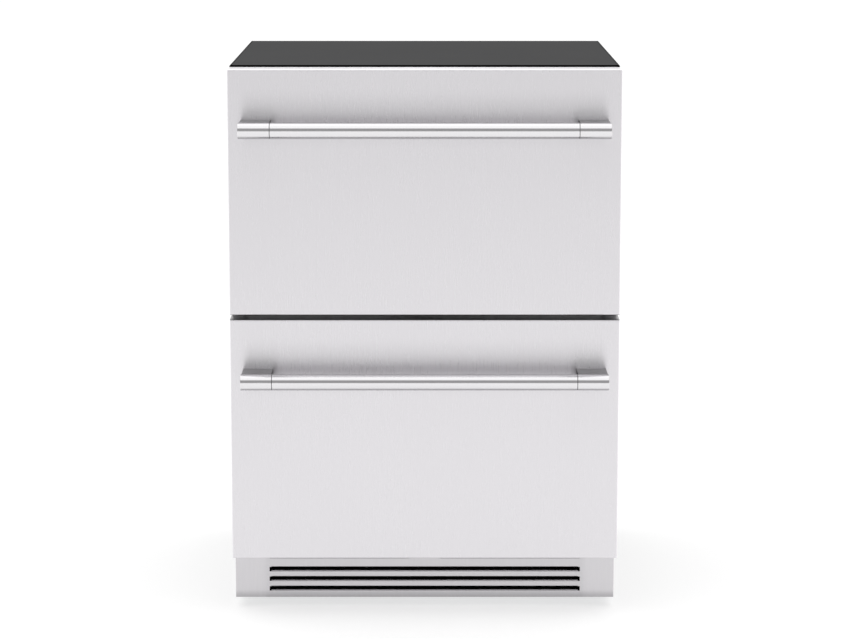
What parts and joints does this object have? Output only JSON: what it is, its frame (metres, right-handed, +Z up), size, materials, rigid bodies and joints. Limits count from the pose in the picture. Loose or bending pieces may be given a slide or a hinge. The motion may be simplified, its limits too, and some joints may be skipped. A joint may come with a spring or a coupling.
{
  "type": "undercounter drawer refrigerator",
  "caption": "Undercounter refrigerator with two stacked pull-out drawers, full-width tube handles and a louvred toe kick.",
  "frame": {"origin": "on the floor, under the middle of the overall outline", "axes": "+Z up, -Y towards the user (the drawers open towards -Y), +X to the right as seen from the front"},
  "size_m": [0.606, 0.674, 0.87],
  "materials": {
    "stainless": "vertically brushed stainless steel, satin",
    "stainless_handle": "stainless tube brushed along its length, satin",
    "stainless_kick": "brushed stainless sheet with rolled louvre lips",
    "bin_steel": "drawn stainless tub, satin",
    "slide_steel": "zinc-plated slide steel, bright",
    "black_steel": "dark grey powder coat with a fine texture",
    "zinc_steel": "galvanised sheet with a faint spangle",
    "black_enamel": "glossy black enamel",
    "copper": "drawn copper, slightly dulled",
    "aluminium": "mill-finish aluminium fins",
    "liner_plastic": "vacuum-formed light grey liner, semi-gloss",
    "light_plastic": "light grey moulded plastic, satin",
    "dark_plastic": "black moulded plastic, fine texture",
    "gasket_rubber": "soft grey gasket vinyl",
    "rubber": "black rubber",
    "foam": "rigid polyurethane foam, not seen",
    "lens": "opal light cover"
  },
  "bodies": {
    "cabinet": {"top_panel": "black_steel", "side_panel_left": "black_steel", "side_panel_right": "black_steel", "rear_panel": "zinc_steel", "rear_vent_cover": "black_steel", "base_pan": "zinc_steel", "machine_bulkhead": "zinc_steel", "insulation": "foam", "liner": "liner_plastic", "face_frame": "stainless", "centre_rail": "black_steel", "toe_kick": "stainless_kick", "compressor": "black_enamel", "compressor_grommets": "rubber", "condenser": "copper", "condenser_fan_shroud": "black_steel", "condenser_fan_motor": "zinc_steel", "drain_pan": "dark_plastic", "filter_drier": "copper", "refrigerant_pipes": "copper", "control_box": "light_plastic", "cord_gland": "dark_plastic", "evaporator": "aluminium", "evaporator_cover": "liner_plastic", "evaporator_fan_motor": "zinc_steel", "light_lens": "lens", "control_panel": "dark_plastic", "upper_slide_outer_left": "slide_steel", "upper_slide_outer_right": "slide_steel", "lower_slide_outer_left": "slide_steel", "lower_slide_outer_right": "slide_steel"},
    "upper_drawer": {"upper_door_skin": "stainless", "upper_door_panel": "light_plastic", "upper_door_foam": "foam", "upper_gasket": "gasket_rubber", "upper_handle_tube": "stainless_handle", "upper_handle_ends": "stainless_handle", "upper_bin": "bin_steel", "upper_slide_inner_left": "slide_steel", "upper_slide_inner_right": "slide_steel"},
    "lower_drawer": {"lower_door_skin": "stainless", "lower_door_panel": "light_plastic", "lower_door_foam": "foam", "lower_gasket": "gasket_rubber", "lower_handle_tube": "stainless_handle", "lower_handle_ends": "stainless_handle", "lower_bin": "bin_steel", "lower_slide_inner_left": "slide_steel", "lower_slide_inner_right": "slide_steel"},
    "upper_slides": {"upper_slide_mid_left": "slide_steel", "upper_slide_mid_right": "slide_steel"},
    "lower_slides": {"lower_slide_mid_left": "slide_steel", "lower_slide_mid_right": "slide_steel"},
    "condenser_fan": {"condenser_fan_blade": "dark_plastic"},
    "evaporator_fan": {"evaporator_fan_blade": "dark_plastic"},
    "front_left_foot": {"foot_front_left": "dark_plastic"},
    "front_right_foot": {"foot_front_right": "dark_plastic"},
    "rear_left_foot": {"foot_rear_left": "dark_plastic"},
    "rear_right_foot": {"foot_rear_right": "dark_plastic"}
  },
  "joints": [
    {"name": "upper_drawer_slide", "type": "slide", "parent": "cabinet", "child": "upper_drawer", "axis": [0, -1, 0], "range_m": [0, 0.42]},
    {"name": "lower_drawer_slide", "type": "slide", "parent": "cabinet", "child": "lower_drawer", "axis": [0, -1, 0], "range_m": [0, 0.28]},
    {"name": "upper_slides_travel", "type": "slide", "parent": "cabinet", "child": "upper_slides", "axis": [0, -1, 0], "range_m": [0, 0.21]},
    {"name": "lower_slides_travel", "type": "slide", "parent": "cabinet", "child": "lower_slides", "axis": [0, -1, 0], "range_m": [0, 0.14]},
    {"name": "condenser_fan_spin", "type": "hinge", "parent": "cabinet", "child": "condenser_fan", "pos_m": [-0.168, 0.235, 0.1192], "axis": [1, 0, 0], "continuous": true},
    {"name": "evaporator_fan_spin", "type": "hinge", "parent": "cabinet", "child": "evaporator_fan", "pos_m": [0, 0.25, 0.7723], "axis": [0, 1, 0], "continuous": true},
    {"name": "front_left_foot_screw", "type": "slide", "parent": "cabinet", "child": "front_left_foot", "axis": [0, 0, -1], "range_m": [0, 0.02]},
    {"name": "front_right_foot_screw", "type": "slide", "parent": "cabinet", "child": "front_right_foot", "axis": [0, 0, -1], "range_m": [0, 0.02]},
    {"name": "rear_left_foot_screw", "type": "slide", "parent": "cabinet", "child": "rear_left_foot", "axis": [0, 0, -1], "range_m": [0, 0.02]},
    {"name": "rear_right_foot_screw", "type": "slide", "parent": "cabinet", "child": "rear_right_foot", "axis": [0, 0, -1], "range_m": [0, 0.02]}
  ],
  "couplings": [
    {"joint": "upper_slides_travel", "follows": "upper_drawer_slide", "ratio": 0.5},
    {"joint": "lower_slides_travel", "follows": "lower_drawer_slide", "ratio": 0.5}
  ]
}
